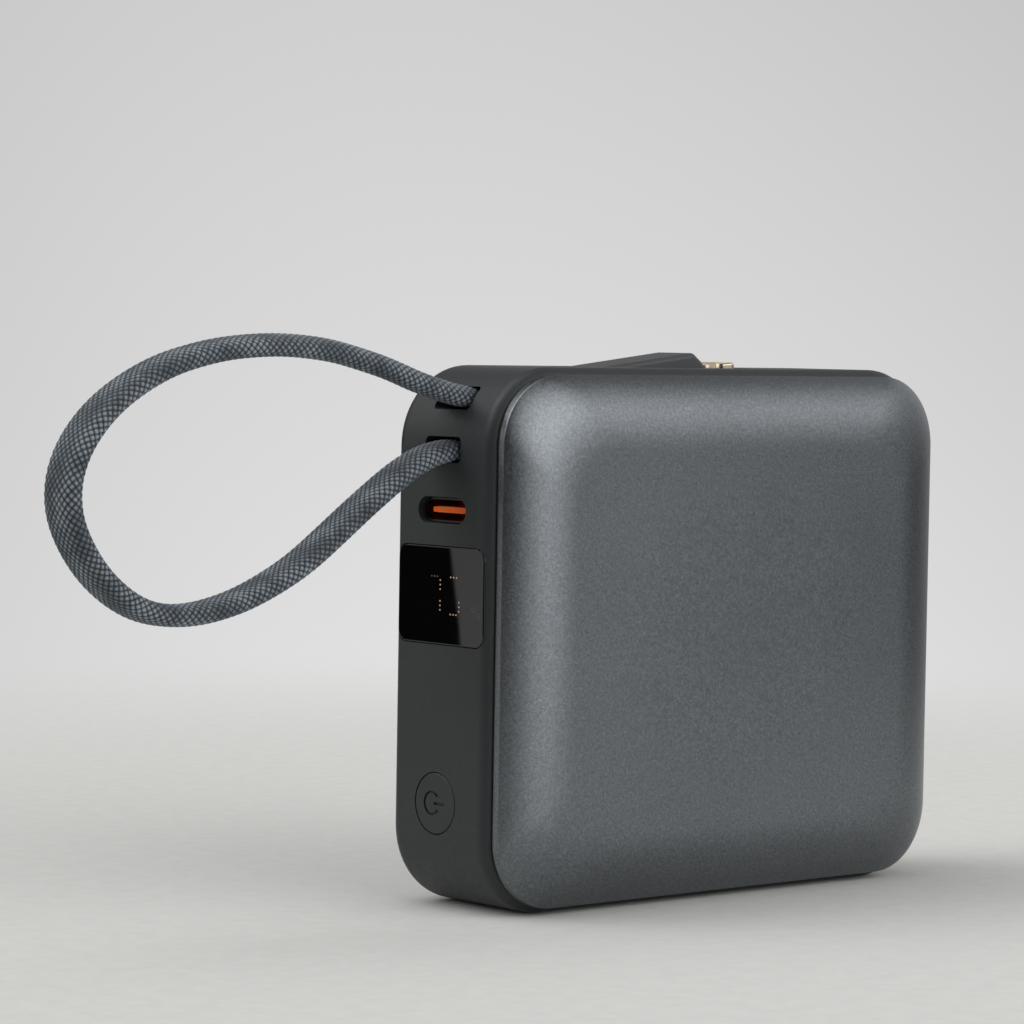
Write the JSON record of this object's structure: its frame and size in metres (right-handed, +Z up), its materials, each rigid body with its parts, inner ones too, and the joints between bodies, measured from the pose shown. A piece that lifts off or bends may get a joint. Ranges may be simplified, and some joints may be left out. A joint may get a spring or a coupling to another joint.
{
  "type": "power bank",
  "caption": "Pocket power bank: rounded-square plastic ring frame between two pillow-shaped metal skins, with a braided cable loop and a stowed wedge plug.",
  "frame": {"origin": "middle of the narrow base that it stands on, measured without the cable loop", "axes": "+Z up, -Y out of the front skin, -X out of the narrow side with display, socket and button"},
  "size_m": [0.1431, 0.0297, 0.0758],
  "materials": {
    "frame_plastic": "fine matte texture",
    "anodised_skin": "sand-blasted anodised",
    "inner_plastic": "matte",
    "adhesive": "matte",
    "window_gloss": "gloss",
    "module_plastic": "matte",
    "led_dots": "lit dots",
    "tinned_metal": "satin",
    "button_plastic": "fine matte texture",
    "switch_metal": "satin",
    "stainless": "satin",
    "socket_liner": "gloss",
    "socket_tongue": "satin",
    "gold": "plated",
    "board": "solder mask",
    "capacitor": "matte",
    "cell_pouch": "satin foil",
    "foam": "open cell foam",
    "lead_red": "insulated wire",
    "cable_braid": "fine diamond braid",
    "cable_jacket": "matte",
    "boot_plastic": "fine matte texture",
    "plug_metal": "nickel-gold plated"
  },
  "bodies": {
    "housing": {"anchor_screws": "tinned_metal", "battery_leads": "lead_red", "cable_anchor": "inner_plastic", "cable_guide": "inner_plastic", "cable_inner": "cable_braid", "cable_loop": "cable_braid", "cable_root": "cable_jacket", "cable_wires": "lead_red", "capacitors": "capacitor", "cell_front": "cell_pouch", "cell_rear": "cell_pouch", "cell_tabs": "tinned_metal", "cell_tape": "adhesive", "controller_chip": "module_plastic", "display_dots": "led_dots", "display_gasket": "adhesive", "display_module": "module_plastic", "display_pins": "tinned_metal", "display_window": "window_gloss", "front_carrier": "inner_plastic", "front_cover": "anodised_skin", "front_foam": "foam", "front_gasket": "adhesive", "main_pcb": "board", "mid_frame": "frame_plastic", "mosfets": "module_plastic", "pcb_screws": "tinned_metal", "plug_tail": "cable_braid", "power_inductor": "module_plastic", "protection_board": "board", "rear_carrier": "inner_plastic", "rear_cover": "anodised_skin", "rear_foam": "foam", "rear_gasket": "adhesive", "stow_magnet": "stainless", "stow_tray": "frame_plastic", "switch_dome": "tinned_metal", "tact_switch": "switch_metal", "thermistor": "module_plastic", "usb_contacts": "gold", "usb_liner": "socket_liner", "usb_shell": "stainless", "usb_tongue": "socket_tongue"},
    "button": {"power_button": "button_plastic", "switch_plunger": "module_plastic"},
    "plug": {"plug_boot": "boot_plastic", "plug_tab": "plug_metal", "plug_contacts": "gold"}
  },
  "joints": [
    {"name": "button_press", "type": "slide", "parent": "housing", "child": "button", "axis": [1, 0, 0], "range_m": [0, 0.0004], "stiffness_N_per_m": 400},
    {"name": "plug_lift", "type": "hinge", "parent": "housing", "child": "plug", "pos_m": [-0.0186, 0, 0.0712], "axis": [0, -1, 0], "range_deg": [0, 70]}
  ]
}
